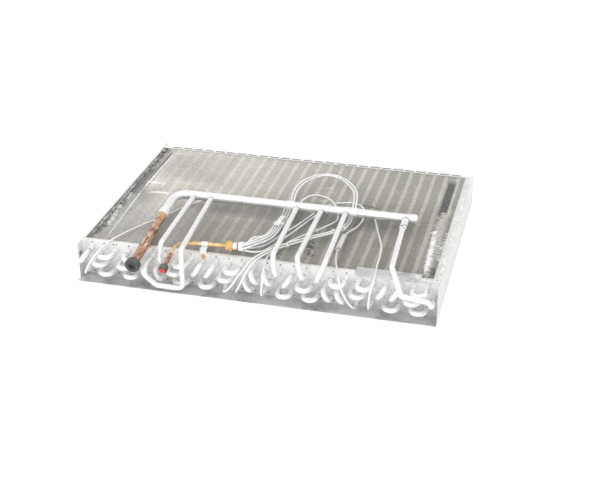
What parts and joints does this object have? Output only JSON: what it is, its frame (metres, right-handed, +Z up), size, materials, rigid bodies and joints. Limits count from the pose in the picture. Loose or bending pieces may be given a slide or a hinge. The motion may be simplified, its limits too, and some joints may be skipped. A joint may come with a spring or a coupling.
{
  "type": "evaporator coil",
  "caption": "Flat finned-tube evaporator coil lying on its base sheet, with a suction header, branch pipes and thin feeder tubes across its top.",
  "frame": {"origin": "centre of the underside of the base sheet", "axes": "+X along the longest side, to the right seen from the pipe side; +Y from the pipe side (front) to the back; +Z up"},
  "size_m": [0.8848, 0.7244, 0.1377],
  "materials": {
    "galvanised_sheet": "zinc-coated sheet, soft spangle, dull",
    "casing_sheet": "mill-finish sheet with faint rolling lines and smudges",
    "rivet_metal": "plain rivet heads",
    "fin_foil": "thin foil edges, dusty, bent in places",
    "tube_metal": "bright tube, braze grey at the joints",
    "manifold_metal": "bright drawn tube, dulled beside the brazed joints",
    "branch_metal": "bright drawn tube",
    "feeder_metal": "bright thin tube",
    "bell_metal": "pale, matt",
    "stub_copper": "copper tube, heat-stained brown with a golden braze end",
    "line_copper": "dark red oxidised copper tube",
    "line_brass": "satin brass tube",
    "nut_brass": "turned brass",
    "collar_metal": "turned, silvery",
    "seal_rubber": "dark red seal",
    "cap_rubber": "black rubber, slightly dusty",
    "cap_ring": "dark grey rubber",
    "plug_plastic": "red plastic",
    "tie_plastic": "white plastic",
    "strap_metal": "white coated strap",
    "clip_plastic": "off-white plastic"
  },
  "bodies": {
    "root": {"base_sheet": "galvanised_sheet", "front_tube_sheet": "casing_sheet", "back_tube_sheet": "casing_sheet", "left_side_plate": "casing_sheet", "right_side_plate": "casing_sheet", "casing_rivets": "rivet_metal", "fin_pack": "fin_foil", "hairpins_1": "tube_metal", "hairpins_2": "tube_metal", "hairpins_3": "tube_metal", "hairpins_4": "tube_metal", "hairpins_5": "tube_metal", "hairpins_6": "tube_metal", "return_bends_1": "tube_metal", "return_bends_2": "tube_metal", "return_bends_3": "tube_metal", "return_bends_4": "tube_metal", "return_bends_5": "tube_metal", "return_bends_6": "tube_metal", "suction_header": "manifold_metal", "header_end_cap": "manifold_metal", "header_sleeves": "manifold_metal", "suction_elbow": "manifold_metal", "suction_bell": "bell_metal", "suction_stub": "stub_copper", "suction_cap": "cap_rubber", "suction_branch_1": "branch_metal", "suction_branch_2": "branch_metal", "suction_branch_3": "branch_metal", "suction_branch_4": "branch_metal", "suction_branch_5": "branch_metal", "suction_branch_6": "branch_metal", "branch_socket": "manifold_metal", "liquid_tube": "line_copper", "liquid_cap": "cap_ring", "liquid_plug": "plug_plastic", "liquid_link": "line_brass", "distributor_tube": "line_brass", "distributor_nut": "nut_brass", "distributor_collar": "collar_metal", "seal_ring": "seal_rubber", "fan_collar": "bell_metal", "feeder_1": "feeder_metal", "feeder_2": "feeder_metal", "feeder_3": "feeder_metal", "feeder_4": "feeder_metal", "feeder_5": "feeder_metal", "feeder_6": "feeder_metal", "feeder_ferrules": "tube_metal", "feeder_tie": "tie_plastic", "tie_beads": "tie_plastic", "feeder_sleeve": "tie_plastic", "tube_clip": "strap_metal", "clip_screw": "nut_brass", "top_angle": "galvanised_sheet", "edge_clips": "clip_plastic"}
  },
  "joints": []
}
